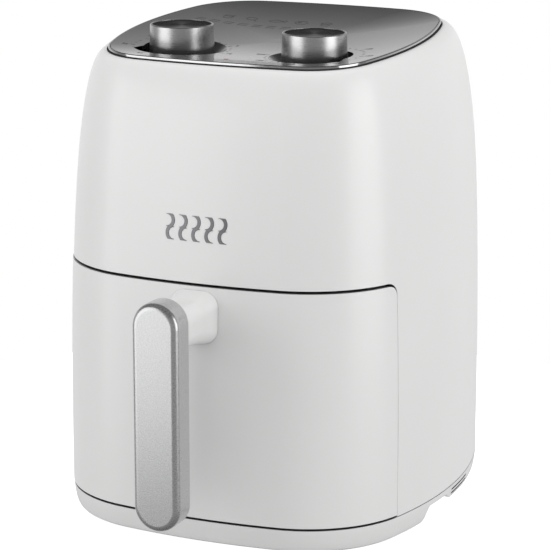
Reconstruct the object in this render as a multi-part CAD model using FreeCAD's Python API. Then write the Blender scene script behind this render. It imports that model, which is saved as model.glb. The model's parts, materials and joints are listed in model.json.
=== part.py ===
import FreeCAD, Part
import math
import os
from FreeCAD import Vector

# Hot-air fryer with a slide-out drawer, in millimetres.
# Everything is modelled about the body's middle: front at -Y, up +Z, worktop at z = 0.
# The finished parts are then moved along Y so that the origin is the middle of the overall footprint.

# ---- plan outline of the body at its widest level ----
BODY_HALF_WIDTH = 130.0
BODY_HALF_DEPTH = 134.5
FRONT_CORNER = 75.0
REAR_CORNER = 59.0
FRONT_BOW = 413.0
SIDE_BOW = 296.0
WALL = 3.0

# ---- heights ----
BASE_BOTTOM = 2.0
SEAM_Z = 18.0
SHELL_BOTTOM = 18.5
DRAWER_BOTTOM = 19.8
DRAWER_TOP = 179.0
LINTEL_Z = 181.0
RIM_Z = 327.05

# ---- side profile: how far the wall leans in from the widest outline ----
INSET_AT_SEAM = -1.6
SHOULDER_LEAN = 26.3
SHOULDER_POWER = 2.76
SHOULDER_ROUND = 2.56
SET_BACK = 7.9
SET_BACK_POWER = 2.76
REAR_SQUARING = 26.0
SQUARING_POWER = 2.5

# ---- plinth: full depth in front, raised behind so that it can be lifted by hand ----
PLINTH_FOOT_INSET = 3.5
PLINTH_RAISED_Z = 9.5
PLINTH_GRIP_Z = 14.0
PLINTH_CORE_INSET = 25.0
PLINTH_VENT = 1.3

# ---- sloping control panel: the rim it sits in, and how the dished plate stands above it ----
PANEL_TILT = 3.53
PANEL_HALF_WIDTH = 105.3
PANEL_FRONT = 103.7
PANEL_BACK = 102.7
PANEL_FRONT_CORNER = 43.0
PANEL_REAR_CORNER = 48.8
PANEL_BOW = 594.0
PANEL_SIDE_BOW = 244.0
PLATE_TOP = 2.65
PLATE_THICK = 2.5
PLATE_DISH = 6.7
PLATE_INSET = 2.5
TRIM_INSET = 0.8
TRIM_WIDTH = 1.35
SEAL_TOP = 0.8
SEAT_FLOOR = -4.5
SEAT_WIDTH = 4.0

# ---- knobs ----
KNOB_X = 49.05
KNOB_Y = -49.9
KNOB_BASE_Z = 318.1
KNOB_TOP_Z = 338.8
KNOB_BASE_RADIUS = 22.2
KNOB_TOP_RADIUS = 21.6
COLLAR_RADIUS = 23.0
WELL_FLOOR_Z = 317.0
CAP_DEPTH = 2.2
CAP_THICK = 0.9
WELL_RADIUS = 26.0
WELL_EDGE_SLOPE = 1.13
SHAFT_RADIUS = 3.0

# ---- drawer ----
JAMB_Y = -75.0
DRAWER_BACK_Y = -76.0
DRAWER_EDGE_ROUND = 7.0
DRAWER_PROUD = 0.5
FRAME_FRONT_Y = -74.0
FRAME_BACK_Y = -71.5

# ---- pan and cooking chamber ----
PAN_Y = -8.0
PAN_HALF_WIDTH = 96.0
PAN_HALF_DEPTH = 100.0
PAN_CORNER = 45.0
PAN_WALL = 1.5
PAN_FLOOR_Z = 30.0
PAN_RIM_Z = 148.0
CRISPER_Z = 46.0
CRISPER_THICK = 1.6
CRISPER_GAP = 3.6
CHAMBER_SIDE = 106.0
CHAMBER_DEPTH = 109.0
CHAMBER_CORNER = 55.0
SHEET = 1.0
HOOD_BOTTOM = 184.5
HOOD_TOP = 212.0
ELEMENT_Z = 181.0
ELEMENT_TUBE = 3.25
ELEMENT_OUTER = 80.0
ELEMENT_INNER = 62.0
ELEMENT_GAP = 14.0
ELEMENT_BEND = 8.0

# ---- motor column ----
MOTOR_SHAFT_RADIUS = 2.5
BRIDGE_Z = 238.0
MOTOR_RADIUS = 26.0

# ---- handle ----
GRIP_HALF_WIDTH = 16.5
GRIP_LOW = 27.5
GRIP_HIGH = 181.0
GRIP_FRONT = -193.5
GRIP_BACK = -174.5
COVER_WALL = 1.6

EMBLEM_Z = 217.0

# ---- overall reach along Y, used to centre the footprint ----
REAR_REACH = BODY_HALF_DEPTH - INSET_AT_SEAM
TO_FOOTPRINT_MIDDLE = Vector(0, -(GRIP_FRONT + REAR_REACH) / 2, 0)

# ---- plan positions: screw bosses with the height of the screw's seat, capillary, feet ----
BASE_BOSSES = [(x, y, seat) for x in (-117, 117) for y, seat in ((-56, 8.0), (62, 13.0))]
CAPILLARY = (76, 84)
FEET = [(x, y) for x in (-78, 78) for y in (-84, 88)]


# ------------------------------------------------------------------ basic shapes

def box(x, y, z):
    """Box between pairs of x, y and z values."""
    size = [high - low for low, high in (x, y, z)]
    return Part.makeBox(*size, Vector(x[0], y[0], z[0]))


def rod(radius, base, height, axis=(0, 0, 1)):
    return Part.makeCylinder(radius, height, Vector(*base), Vector(*axis))


def cone(low_radius, high_radius, base, height):
    return Part.makeCone(low_radius, high_radius, height, Vector(*base))


def tube(outer, inner, base, height, axis=(0, 0, 1)):
    return rod(outer, base, height, axis).cut(rod(inner, base, height, axis))


def fuse(shapes):
    joined = shapes[0].multiFuse(shapes[1:])
    return joined.removeSplitter()


def cut_all(shape, tools):
    return shape.cut(Part.makeCompound(tools))


def turned(shape, degrees, centre=(0, 0, 0), axis=(0, 0, 1)):
    copy = shape.copy()
    copy.rotate(Vector(*centre), Vector(*axis), degrees)
    return copy


def moved(shape, x=0, y=0, z=0):
    copy = shape.copy()
    copy.translate(Vector(x, y, z))
    return copy


def around(shape, count, centre=(0, 0, 0), start=0):
    """Copies of a shape, evenly turned about a vertical axis."""
    return [turned(shape, start + 360 * i / count, centre) for i in range(count)]


def arc(start, middle, end):
    return Part.Arc(start, middle, end).toShape()


def edges_at(shape, z):
    """Edges that lie wholly at one height."""
    return [e for e in shape.Edges if abs(e.BoundBox.ZMax - z) < 1e-4 and abs(e.BoundBox.ZMin - z) < 1e-4]


def rounded(half_x, half_y, radius, centre_y=0):
    """Wire of a rounded rectangle at z = 0."""
    x = half_x - radius
    y = half_y - radius
    diagonal = radius * math.sqrt(0.5)
    edges = []
    for i, (sx, sy) in enumerate(((1, -1), (1, 1), (-1, 1), (-1, -1))):
        corner = Vector(sx * x, sy * y + centre_y, 0)
        across = corner + Vector(sx * radius, 0, 0)
        along = corner + Vector(0, sy * radius, 0)
        first, last = (along, across) if i % 2 == 0 else (across, along)
        middle = corner + Vector(sx * diagonal, sy * diagonal, 0)
        if edges:
            edges.append(Part.makeLine(edges[-1].Vertexes[-1].Point, first))
        edges.append(arc(first, middle, last))
    edges.append(Part.makeLine(edges[-1].Vertexes[-1].Point, edges[0].Vertexes[0].Point))
    return Part.Wire(edges)


def prism(wire, low, high):
    """Solid between two heights over a closed flat wire at z = 0."""
    return moved(Part.Face(wire).extrude(Vector(0, 0, high - low)), z=low)


def bent_rod(points, radius, bend):
    """Round rod along straight runs that are joined by tangent arcs."""
    points = [Vector(*p) for p in points]
    edges = []
    start = points[0]
    for before, corner, after in zip(points, points[1:], points[2:]):
        arriving = (corner - before).normalize()
        leaving = (after - corner).normalize()
        turn = arriving.getAngle(leaving)
        reach = bend * math.tan(turn / 2)
        inward = (leaving - arriving).normalize()
        arc_start = corner - arriving * reach
        arc_end = corner + leaving * reach
        middle = corner + inward * (bend / math.cos(turn / 2) - bend)
        edges.append(Part.makeLine(start, arc_start))
        edges.append(arc(arc_start, middle, arc_end))
        start = arc_end
    edges.append(Part.makeLine(start, points[-1]))
    return sweep(Part.Wire(edges), radius)


def sweep(path, radius):
    """Round section swept along a path."""
    start = path.Edges[0]
    direction = start.tangentAt(start.FirstParameter)
    section = Part.Wire(Part.makeCircle(radius, start.valueAt(start.FirstParameter), direction))
    return path.makePipeShell([section], True, True)


# ------------------------------------------------------------------ body outline

def touching_centre(centre_a, reach_a, centre_b, reach_b, side):
    """Centre of the right-hand corner arc; side is -1 at the front and 1 at the rear."""
    gap = centre_b - centre_a
    along = (reach_a ** 2 - reach_b ** 2 + gap.Length ** 2) / (2 * gap.Length)
    off = math.sqrt(reach_a ** 2 - along ** 2)
    direction = Vector(gap).normalize()
    across = Vector(-direction.y, direction.x, 0)
    choices = [centre_a + direction * along + across * off * sign for sign in (1, -1)]
    return max(choices, key=lambda point: point.x + side * point.y)


def outline(plan):
    """Wire of eight arcs: bowed front, sides and back with tangent corners."""
    half_width, front, back, front_corner, rear_corner, bow, side_bow = plan
    side_centre = Vector(half_width - side_bow, (back - front) / 2, 0)
    right = []
    for side, depth, corner in ((-1, front, front_corner), (1, back, rear_corner)):
        bow_centre = Vector(0, side * (depth - bow), 0)
        centre = touching_centre(bow_centre, bow - corner, side_centre, side_bow - corner, side)
        on_bow = bow_centre + (centre - bow_centre).normalize() * bow
        on_side = side_centre + (centre - side_centre).normalize() * side_bow
        middle = centre + ((on_bow + on_side) / 2 - centre).normalize() * corner
        right.append((on_bow, middle, on_side))
    (p, m, q), (s, n, r) = right
    p2, m2, q2, r2, n2, s2 = [Vector(-v.x, v.y, 0) for v in (p, m, q, r, n, s)]
    middle_y = side_centre.y
    return Part.Wire([
        arc(p2, Vector(0, -front, 0), p),
        arc(p, m, q),
        arc(q, Vector(half_width, middle_y, 0), r),
        arc(r, n, s),
        arc(s, Vector(0, back, 0), s2),
        arc(s2, n2, r2),
        arc(r2, Vector(-half_width, middle_y, 0), q2),
        arc(q2, m2, p2),
    ])


def body_plan(inset, lean=0.0, squaring=0.0):
    """Plan sizes at an inset from the widest outline; lean 1 is the squarer plan of the panel."""
    rear_corner = REAR_CORNER - squaring
    body = [BODY_HALF_WIDTH, BODY_HALF_DEPTH, BODY_HALF_DEPTH, FRONT_CORNER, rear_corner, FRONT_BOW, SIDE_BOW]
    panel = [PANEL_HALF_WIDTH, PANEL_FRONT, PANEL_BACK, PANEL_FRONT_CORNER, PANEL_REAR_CORNER, PANEL_BOW,
             PANEL_SIDE_BOW]
    outward = BODY_HALF_WIDTH - PANEL_HALF_WIDTH - inset
    body = [size - inset for size in body]
    panel = [size + outward for size in panel]
    plan = [(1 - lean) * b + lean * p for b, p in zip(body[:5], panel[:5])]
    return plan + [1 / ((1 - lean) / b + lean / p) for b, p in zip(body[5:], panel[5:])]


def rise(z):
    """Share of the way up the side wall, and how far round the shoulder that is."""
    u = min(max((z - SEAM_Z) / (RIM_Z - SEAM_Z), 0), 1)
    return u, 1 - (1 - u ** SHOULDER_POWER) ** (1 / SHOULDER_ROUND)


def wall_inset(z):
    """Side profile: nearly upright at first, then a round shoulder up to the panel rim."""
    return INSET_AT_SEAM + SHOULDER_LEAN * rise(z)[1]


def set_back(z):
    """How far a level sits back: the front wall leans more than the rear one."""
    u, shoulder = rise(z)
    return SET_BACK * u ** SET_BACK_POWER * (1 - shoulder)


def rear_squaring(z):
    """How much tighter the rear corners are near the bottom."""
    return REAR_SQUARING * (1 - rise(z)[0]) ** SQUARING_POWER


def section(z, depth=0.0):
    """Body outline at height z, moved in along the wall's normal by depth."""
    step = 0.02
    low = min(z, RIM_Z - step)
    slope = (wall_inset(low + step) - wall_inset(low)) / step
    normal = math.hypot(1, slope)
    lean = max((z - 240) / (RIM_Z - 240), 0) ** 2
    wire = outline(body_plan(wall_inset(z) + depth / normal, lean, rear_squaring(z)))
    wire = turned(wire, PANEL_TILT * lean, axis=(1, 0, 0))
    return moved(wire, y=set_back(z), z=z - depth * slope / normal)


FULL_LEVELS = (SEAM_Z, 60, 100, 140, 180, 205, 228, 248, 266, 282, 295, 305, 313, 319, 323, 324.7, RIM_Z)
DRAWER_LEVELS = (SEAM_Z, 60, 100, 140, 180, 205)


def body(depth=0.0, levels=FULL_LEVELS):
    """Solid inside the body's outer surface, or depth mm inside it."""
    return Part.makeLoft([section(z, depth) for z in levels], True)


def on_panel(shape):
    """Moves a shape from the panel's own level frame, z = 0 at the rim, to the sloping rim."""
    return moved(turned(shape, PANEL_TILT, axis=(1, 0, 0)), z=RIM_Z)


def panel_plan(shrink):
    return body_plan(BODY_HALF_WIDTH - PANEL_HALF_WIDTH + shrink, 1)


def panel_prism(shrink, low, high):
    return on_panel(prism(outline(panel_plan(shrink)), low, high))


def dish(top):
    """Shallow bowl below the panel plate's outline, whose mouth is at a height above the rim."""
    wires = []
    for share in (1, 0.9, 0.75, 0.55, 0.3, 0.06):
        wire = outline([share * size for size in panel_plan(PLATE_INSET)])
        wires.append(moved(wire, z=top - PLATE_DISH * (1 - share ** 2)))
    return on_panel(Part.makeLoft(wires, True))


def side_view_block(front, back, low, high, radius):
    """Block right across the body whose upper rear edge is rounded."""
    block = box((-150, 150), (front, back), (low, high))
    edge = [e for e in block.Edges
            if abs(e.BoundBox.YMin - back) < 1e-6 and abs(e.BoundBox.ZMin - high) < 1e-6]
    return block.makeFillet(radius, edge)


# ------------------------------------------------------------------ casing

def outer_shell():
    """White casing: one moulded shell with the drawer opening, the panel seat and the rear opening."""
    shell = body().cut(body(WALL))
    seat = panel_prism(-2, SEAT_FLOOR - 3, -1).cut(panel_prism(0, SEAT_FLOOR, 1))
    shell = fuse([shell.cut(panel_prism(0, -12, 8)), seat]).cut(panel_prism(SEAT_WIDTH, -12, 8))
    shell = shell.cut(side_view_block(-200, JAMB_Y, 0, LINTEL_Z, DRAWER_EDGE_ROUND + 1.5))
    shell = shell.cut(box((-150, 150), (-150, 150), (0, SHELL_BOTTOM)))
    shell = shell.cut(rear_opening(0))
    inside = body(WALL - 0.5, DRAWER_LEVELS)
    for x, y, _ in BASE_BOSSES:
        side = math.copysign(1, x)
        reach = sorted((x, side * 140))
        web = box(reach, (y - 1.5, y + 1.5), (SHELL_BOTTOM, 60)).common(inside)
        shell = fuse([shell, rod(5, (x, y, SHELL_BOTTOM), 41.5), web])
    shell = cut_all(shell, [rod(1.7, (x, y, SHELL_BOTTOM), 30) for x, y, _ in BASE_BOSSES])
    return cut_all(shell, [gland_hole(7.2), emblem_recess()])


def rear_opening(gap):
    """Block that cuts the rear opening, or the cover that fills it with a gap."""
    block = box((-78 + gap, 78 - gap), (90, 150), (66 + gap, 250 - gap))
    upright = [e for e in block.Edges if e.BoundBox.YLength > 50]
    return block.makeFillet(8 - gap, upright)


def rear_cover():
    """Rear service cover with air slots, flush in the casing."""
    cover = body(0.6).cut(body(WALL + 0.6)).common(rear_opening(0.5))
    slots = []
    for i in range(9):
        z = 158 + 9 * i
        slot = box((-52, 52), (90, 150), (z, z + 4))
        slots.append(slot.makeFillet(1.9, [e for e in slot.Edges if e.BoundBox.YLength > 50]))
    return cut_all(cover, slots)


def front_frame():
    """Dark frame around the drawer opening, with the shelf above the drawer."""
    inside = body(WALL + 0.2, DRAWER_LEVELS)
    plate = inside.common(box((-150, 150), (FRAME_FRONT_Y, FRAME_BACK_Y), (SHELL_BOTTOM + 0.3, 183.5)))
    shelf = inside.common(box((-150, 150), (-150, FRAME_BACK_Y), (LINTEL_Z + 0.2, 183.5)))
    frame = fuse([plate, shelf])
    way_through = box((-106.5, 106.5), (-90, -60), (24, 176))
    air_way = prism(chamber_outline(SHEET), 150, 190)
    plunger_hole = rod(2.2, (113, -90, 158), 40, (0, 1, 0))
    return cut_all(frame, [way_through, air_way, plunger_hole])


def plinth_outline(inset):
    return outline(body_plan(inset, squaring=REAR_SQUARING))


def base_tray():
    """White plinth: a tray under the body, deep in front and raised behind, with seats for the feet."""
    heights = ((BASE_BOTTOM, PLINTH_FOOT_INSET), (4, 1.2), (8, -0.4), (13, -1.3), (SEAM_Z, INSET_AT_SEAM))
    outer = Part.makeLoft([moved(plinth_outline(inset), z=z) for z, inset in heights], True)
    hollow = prism(plinth_outline(6.5), BASE_BOTTOM + 3, SEAM_Z + 1)
    core = prism(plinth_outline(PLINTH_CORE_INSET), -1, SEAM_Z)
    band = prism(plinth_outline(5), BASE_BOTTOM, SEAM_Z - 1.5)
    band = band.cut(prism(plinth_outline(PLINTH_CORE_INSET + 3), BASE_BOTTOM + 3, SEAM_Z))
    band = band.common(box((-150, 150), (-47, 150), (0, SEAM_Z)))
    bosses = [rod(6, (x, y, seat - 4), SEAM_Z - seat + 4) for x, y, seat in BASE_BOSSES]
    tray = fuse([outer.cut(hollow), band] + bosses)
    tools = [lifting_space().cut(core)] + plinth_vents()
    for x, y, seat in BASE_BOSSES:
        tools += [rod(2.1, (x, y, 0), 30), rod(4.2, (x, y, 0), seat)]
    tools += [rod(9.2, (x, y, 0), 4) for x, y in FEET]
    for i in range(13):
        x = -48 + 8 * i
        tools.append(box((x - 1.6, x + 1.6), (20, 70), (0, 10)))
    return cut_all(tray, tools)


def lifting_space():
    """Space below the raised part of the plinth, highest where the fingers go in."""
    side_view = [(-43, -1), (-43, 0), (-38.5, 5), (-36.5, 10), (-33, PLINTH_GRIP_Z), (-6, PLINTH_GRIP_Z),
                 (2, PLINTH_RAISED_Z), (150, PLINTH_RAISED_Z), (150, -1)]
    wire = Part.makePolygon([Vector(-150, y, z) for y, z in side_view + side_view[:1]])
    return Part.Face(wire).extrude(Vector(300, 0, 0))


def plinth_vents():
    """Two fine slots, one above the other, in each rear side of the plinth."""
    slots = []
    inside = prism(plinth_outline(4.5), 0, SEAM_Z)
    for z in (11.4, 14.2):
        ring = prism(plinth_outline(-5), z, z + PLINTH_VENT).cut(inside)
        slots += [ring.common(box(sorted((side * 60, side * 150)), (4, 40), (0, SEAM_Z))) for side in (-1, 1)]
    return slots


def rubber_feet():
    return Part.makeCompound([cone(7.5, 9.0, (x, y, 0), 4) for x, y in FEET])


def base_screws():
    """Screws that hold the plinth to the casing's bosses."""
    screws = []
    for x, y, seat in BASE_BOSSES:
        head = rod(3.6, (x, y, seat - 2.4), 2.4)
        cross = [box((x - 2.4, x + 2.4), (y - 0.5, y + 0.5), (seat - 3, seat - 1.2)),
                 box((x - 0.5, x + 0.5), (y - 2.4, y + 2.4), (seat - 3, seat - 1.2))]
        screws.append(cut_all(fuse([head, rod(1.6, (x, y, seat - 1), 43 - seat)]), cross))
    return Part.makeCompound(screws)


def gland_hole(radius):
    return rod(radius, (62, 110, 42), 40, (0, 1, 0))


def cord_gland():
    """Grommet where the mains lead would come in."""
    flange_outside = tube(9.5, 3.8, (62, 128, 42), 7.2, (0, 1, 0)).cut(body())
    neck = tube(6.9, 3.8, (62, 126, 42), 7, (0, 1, 0))
    flange_inside = tube(9.0, 3.8, (62, 126, 42), 7, (0, 1, 0)).common(body(WALL))
    return fuse([flange_outside, neck, flange_inside])


def emblem_waves(grow):
    """Five upright hot-air waves, each of an upper and a lower bend that meet at half height."""
    half_chord = 4.2
    offset = 3.0
    radius = math.hypot(half_chord, offset)
    thick = 1.1 + grow
    bends = []
    for x in (-19, -9.5, 0, 9.5, 19):
        for side in (-1, 1):
            z = EMBLEM_Z + side * half_chord
            ring = tube(radius + thick, radius - thick, (x - side * offset, -150, z), 30, (0, 1, 0))
            beside = sorted((x - side * offset, x + side * 12))
            bends.append(ring.common(box(beside, (-151, -119), (z - half_chord, z + half_chord))))
    return fuse(bends)


def emblem_recess():
    return emblem_waves(0.15).cut(body(0.5))


def emblem():
    """Plain hot-air mark, a thin bright inlay on the upper front."""
    return emblem_waves(0).common(body(-0.3, DRAWER_LEVELS + (228, 248, 266))).cut(body(0.5))


# ------------------------------------------------------------------ control panel and knobs

def well(x):
    """Round dish with a sloped edge that a knob sits in."""
    height = 6.5
    floor = rod(WELL_RADIUS, (x, KNOB_Y, WELL_FLOOR_Z), 12)
    edge = cone(WELL_RADIUS, WELL_RADIUS + WELL_EDGE_SLOPE * height, (x, KNOB_Y, WELL_FLOOR_Z), height)
    return fuse([floor, edge])


def top_panel():
    """Dark metallic control panel: a dished plate with a well for each knob."""
    top = PLATE_TOP - 0.2
    edge = panel_prism(PLATE_INSET, -0.5, top)
    cups = [rod(WELL_RADIUS + 6.5, (x, KNOB_Y, WELL_FLOOR_Z - PLATE_THICK), 8) for x in (-KNOB_X, KNOB_X)]
    panel = fuse([edge, dish(top - PLATE_THICK)] + cups)
    tools = [dish(top)] + [well(x) for x in (-KNOB_X, KNOB_X)]
    tools += [rod(5, (x, KNOB_Y, 300), 30) for x in (-KNOB_X, KNOB_X)]
    tools.append(on_panel(rod(1.9, (0, -84, -10), 15)))
    return cut_all(panel, tools)


def panel_trim():
    """Polished band around the panel, with a softened top edge."""
    band = prism(outline(panel_plan(TRIM_INSET)), -3.8, PLATE_TOP)
    band = band.cut(prism(outline(panel_plan(TRIM_INSET + TRIM_WIDTH)), -6, 6))
    return on_panel(band.makeFillet(0.6, edges_at(band, PLATE_TOP)))


def panel_seal():
    """Dark gasket in the rim's seat: it holds the band, carries the plate's edge and fills the outer gap."""
    gasket = panel_prism(0.05, SEAT_FLOOR + 0.05, -0.6).cut(panel_prism(SEAT_WIDTH, -6, 2))
    lip = panel_prism(0.05, -1, SEAL_TOP).cut(panel_prism(TRIM_INSET, -2, 2))
    groove = panel_prism(TRIM_INSET - 0.05, -3.85, 2)
    groove = groove.cut(panel_prism(TRIM_INSET + TRIM_WIDTH + 0.05, -6, 3))
    return fuse([gasket, lip]).cut(groove)


def knob_collar(x):
    """Dark ring under the knob's skirt, just clear of the well's floor."""
    low = WELL_FLOOR_Z + 0.4
    return tube(COLLAR_RADIUS, KNOB_TOP_RADIUS - 3, (x, KNOB_Y, low), KNOB_BASE_Z - low)


def knob(x):
    """Metal skirt: slightly tapered, bevelled at the top, hollow below, with a shallow seat for its disc."""
    height = KNOB_TOP_Z - KNOB_BASE_Z
    bevel = 1.1
    outer = fuse([
        cone(KNOB_BASE_RADIUS, KNOB_TOP_RADIUS, (x, KNOB_Y, KNOB_BASE_Z), height - bevel),
        cone(KNOB_TOP_RADIUS, KNOB_TOP_RADIUS - bevel, (x, KNOB_Y, KNOB_TOP_Z - bevel), bevel),
    ])
    floor_z = KNOB_TOP_Z - CAP_DEPTH - CAP_THICK
    hollow = rod(KNOB_TOP_RADIUS - 2.4, (x, KNOB_Y, KNOB_BASE_Z), floor_z - 2 - KNOB_BASE_Z)
    seat = cone(KNOB_TOP_RADIUS - 2.6, KNOB_TOP_RADIUS - 1.7, (x, KNOB_Y, floor_z), KNOB_TOP_Z - floor_z)
    hub = rod(6.2, (x, KNOB_Y, KNOB_BASE_Z + 0.4), floor_z - 1 - KNOB_BASE_Z)
    return fuse([outer.cut(hollow), hub]).cut(seat).cut(rod(SHAFT_RADIUS, (x, KNOB_Y, 300), 31))


def knob_cap(x):
    """Disc set into the knob's top, with a short pointer groove."""
    top = KNOB_TOP_Z - CAP_DEPTH
    disc = rod(KNOB_TOP_RADIUS - 2.75, (x, KNOB_Y, top - CAP_THICK), CAP_THICK)
    pointer = box((x - 0.5, x + 0.5), (KNOB_Y + 9, KNOB_Y + 17), (top - 0.4, top + 1))
    return disc.cut(pointer)


def knob_shaft(x):
    return rod(SHAFT_RADIUS, (x, KNOB_Y, 296), 331 - 296)


def timer_unit():
    """Clockwork timer under the left knob."""
    case = box((-KNOB_X - 22, -KNOB_X + 22), (KNOB_Y - 20, KNOB_Y + 20), (280, 303))
    return case.cut(rod(SHAFT_RADIUS + 0.3, (-KNOB_X, KNOB_Y, 294), 20))


def timer_bell():
    """Bell dome that the timer strikes, below its case."""
    middle = Vector(-KNOB_X, KNOB_Y, 290)
    dome = Part.makeSphere(22, middle).cut(Part.makeSphere(20.8, middle))
    cup = dome.common(box((-100, 0), (-100, 0), (260, 276)))
    post = rod(2, (-KNOB_X, KNOB_Y, 268.6), 280 - 268.6)
    return fuse([cup, post])


def thermostat_unit():
    """Thermostat under the right knob."""
    case = box((KNOB_X - 18, KNOB_X + 18), (KNOB_Y - 16, KNOB_Y + 16), (284, 303))
    neck = rod(6, (KNOB_X, KNOB_Y, 303), 2)
    return fuse([case, neck]).cut(rod(SHAFT_RADIUS + 0.3, (KNOB_X, KNOB_Y, 294), 20))


def thermostat_sensor():
    """Sensing bulb in the hood with its capillary up to the thermostat."""
    x, y = CAPILLARY
    bulb = rod(2.6, (x - 64, y, 204), 50, (1, 0, 0))
    port = (KNOB_X + 18, KNOB_Y, 288)
    route = [(x - 15, y, 204), (x, y, 204), (x, y, 288), (x, KNOB_Y, 288), port]
    return fuse([bulb, bent_rod(route, 0.9, 4)])


def control_bracket():
    """Steel plate that carries the timer, the thermostat and the lamp under the panel."""
    plate = box((-88, 88), (KNOB_Y - 24, KNOB_Y + 24), (305, 306.2))
    ears = [box((s * 94 - 6, s * 94 + 6), (KNOB_Y - 10, KNOB_Y + 10), (305, 306.2)) for s in (-1, 1)]
    tools = [rod(7, (x, KNOB_Y, 300), 20) for x in (-KNOB_X, KNOB_X)]
    tools.append(rod(4.5, (0, -81.5, 300), 20))
    spacers = [tube(4, 2, (s * 8 - KNOB_X, KNOB_Y + 15, 303), 2) for s in (-1, 1)]
    spacers += [tube(4, 2, (s * 8 + KNOB_X, KNOB_Y + 12, 303), 2) for s in (-1, 1)]
    return fuse([cut_all(fuse([plate] + ears), tools)] + spacers)


def indicator_lens():
    """Small round lens of the heating light."""
    return on_panel(fuse([rod(1.75, (0, -84, -4.9), 5.25), tube(3, 1.5, (0, -84, -4.9), 1.5)]))


def indicator_lamp():
    """Neon lamp behind the lens."""
    return on_panel(rod(2.6, (0, -84, -20), 14.9))


# ------------------------------------------------------------------ hot-air unit

def chamber_outline(shrink=0.0):
    return rounded(CHAMBER_SIDE - shrink, CHAMBER_DEPTH - shrink, CHAMBER_CORNER - shrink, PAN_Y)


def chamber_hood():
    """Steel hood over the food, closed at the top, that holds the element and the fan."""
    hood = prism(chamber_outline(), HOOD_BOTTOM, HOOD_TOP)
    hood = hood.makeFillet(9, edges_at(hood, HOOD_TOP))
    hollow = prism(chamber_outline(SHEET), HOOD_BOTTOM - 1, HOOD_TOP - SHEET)
    hollow = hollow.makeFillet(8, edges_at(hollow, HOOD_TOP - SHEET))
    tools = [rod(5, (0, PAN_Y, 200), 20), rod(1.6, (*CAPILLARY, 200), 20)]
    tools += [rod(4.2, (x, y, 200), 20) for x, y in element_ends()]
    return cut_all(hood.cut(hollow), tools)


def chamber_wall():
    """Steel wall around the drawer's way, open at the front and below, with the air outlet at the rear."""
    wall = prism(chamber_outline(), 20.5, HOOD_BOTTOM - 0.3).cut(prism(chamber_outline(SHEET), 0, 200))
    wall = wall.cut(box((-150, 150), (-150, FRAME_BACK_Y + 0.3), (0, 200)))
    return wall.cut(box((-45, 45), (90, 110), (152, 176)))


def insulation_pad():
    """Glass-fibre pad on top of the hood."""
    pad = prism(chamber_outline(12), HOOD_TOP + 0.3, HOOD_TOP + 6)
    tools = [rod(16, (0, PAN_Y, 200), 40), rod(5, (*CAPILLARY, 200), 40), rod(10.5, (-74, 40, 200), 40)]
    tools += [rod(6.5, (x, y, 200), 40) for x, y in element_ends()]
    tools += [box((s * 62 - 12, s * 62 + 12), (PAN_Y - 28, PAN_Y + 28), (200, 230)) for s in (-1, 1)]
    return cut_all(pad, tools)


def ring_point(radius, degrees):
    turn = math.radians(degrees)
    return Vector(radius * math.cos(turn), PAN_Y + radius * math.sin(turn), ELEMENT_Z)


def clockwise(degrees):
    turn = math.radians(degrees)
    return Vector(math.sin(turn), -math.cos(turn), 0)


def element_upright(side):
    """Points of one upright end: its top, its foot above the bend, the bend's middle and its start."""
    end = 90 - side * ELEMENT_GAP
    inward = clockwise(end) * -side
    start = ring_point(ELEMENT_OUTER, end)
    centre = start + Vector(0, 0, ELEMENT_BEND)
    diagonal = (inward - Vector(0, 0, 1)).normalize()
    foot = centre + inward * ELEMENT_BEND
    return foot + Vector(0, 0, 38), foot, centre + diagonal * ELEMENT_BEND, start


def element_ends():
    """Plan positions of the element's two upright ends."""
    return [(element_upright(side)[0].x, element_upright(side)[0].y) for side in (1, -1)]


def heating_element():
    """Tubular element: an outer and an inner ring joined by two hairpins, with two upright ends."""
    middle = (ELEMENT_OUTER + ELEMENT_INNER) / 2
    half_gap = (ELEMENT_OUTER - ELEMENT_INNER) / 2
    right = -90 + ELEMENT_GAP
    left = 270 - ELEMENT_GAP
    top, foot, bend, start = element_upright(1)
    top_2, foot_2, bend_2, start_2 = element_upright(-1)
    path = Part.Wire([
        Part.makeLine(top, foot),
        arc(foot, bend, start),
        arc(start, ring_point(ELEMENT_OUTER, 0), ring_point(ELEMENT_OUTER, right)),
        arc(ring_point(ELEMENT_OUTER, right), ring_point(middle, right) + clockwise(right) * half_gap,
            ring_point(ELEMENT_INNER, right)),
        arc(ring_point(ELEMENT_INNER, right), ring_point(ELEMENT_INNER, 90), ring_point(ELEMENT_INNER, left)),
        arc(ring_point(ELEMENT_INNER, left), ring_point(middle, left) - clockwise(left) * half_gap,
            ring_point(ELEMENT_OUTER, left)),
        arc(ring_point(ELEMENT_OUTER, left), ring_point(ELEMENT_OUTER, 180), start_2),
        arc(start_2, bend_2, foot_2),
        Part.makeLine(foot_2, top_2),
    ])
    return sweep(path, ELEMENT_TUBE)


def element_clips():
    """Three strips that hang the element under the hood."""
    radius = (ELEMENT_OUTER + ELEMENT_INNER) / 2
    low = ELEMENT_Z - ELEMENT_TUBE
    strip = box((radius - 0.8, radius + 0.8), (PAN_Y - 5, PAN_Y + 5), (low - 2, HOOD_TOP - SHEET))
    shelf = box((radius - 12, radius + 12), (PAN_Y - 5, PAN_Y + 5), (low - 2, low - 0.2))
    return Part.makeCompound(around(fuse([strip, shelf]), 3, (0, PAN_Y, 0), 30))


def element_guard():
    """Wire guard under the element: rings welded on six spokes."""
    wire = 1.2
    z = ELEMENT_Z - ELEMENT_TUBE - 2 - wire
    rings = [Part.makeTorus(radius, wire, Vector(0, PAN_Y, z)) for radius in (20, 38, 56, 74, 90)]
    spoke = rod(wire, (19, PAN_Y, z - 1.5), 72, (1, 0, 0))
    return fuse(rings + around(spoke, 6, (0, PAN_Y, 0)))


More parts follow.
